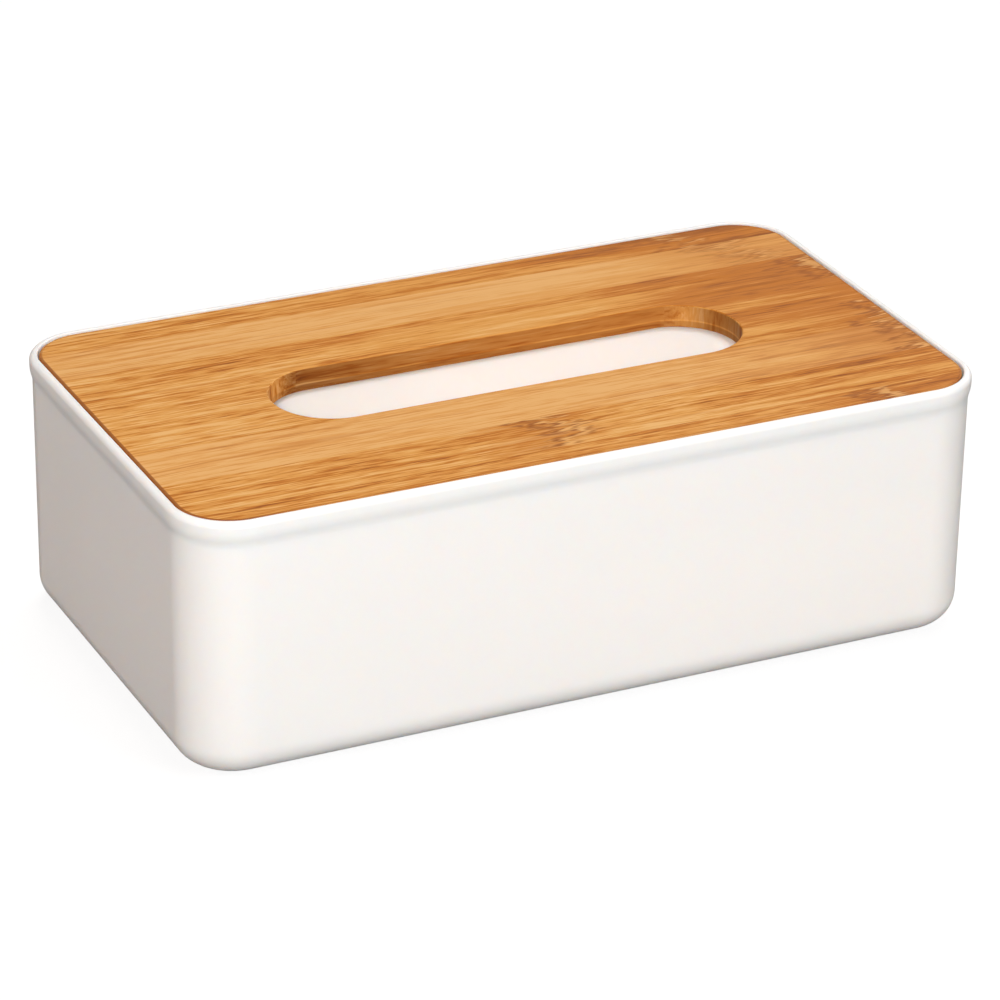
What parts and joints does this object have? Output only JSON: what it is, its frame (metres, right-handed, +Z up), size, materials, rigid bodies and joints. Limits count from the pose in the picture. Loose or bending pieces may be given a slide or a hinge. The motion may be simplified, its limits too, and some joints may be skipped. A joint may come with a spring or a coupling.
{
  "type": "tissue box",
  "caption": "Low white moulded box with rounded corners and a bamboo lid that drops inside its rim, with a long round-ended slot for tissues.",
  "frame": {"origin": "middle of the underside, in the plane of the ring that the box stands on", "axes": "+X along the box's length, +Y across it, +Z up through the lid"},
  "size_m": [0.262, 0.149, 0.084],
  "materials": {
    "white_plastic": "smooth satin white",
    "bamboo": "laminated bamboo, fine lengthwise grain, thin clear oil"
  },
  "bodies": {
    "base": {"base": "white_plastic"},
    "lid": {"lid": "bamboo"}
  },
  "joints": [
    {"name": "lid_lift", "type": "slide", "parent": "base", "child": "lid", "axis": [0, 0, 1], "range_m": [0, 0.1]}
  ]
}
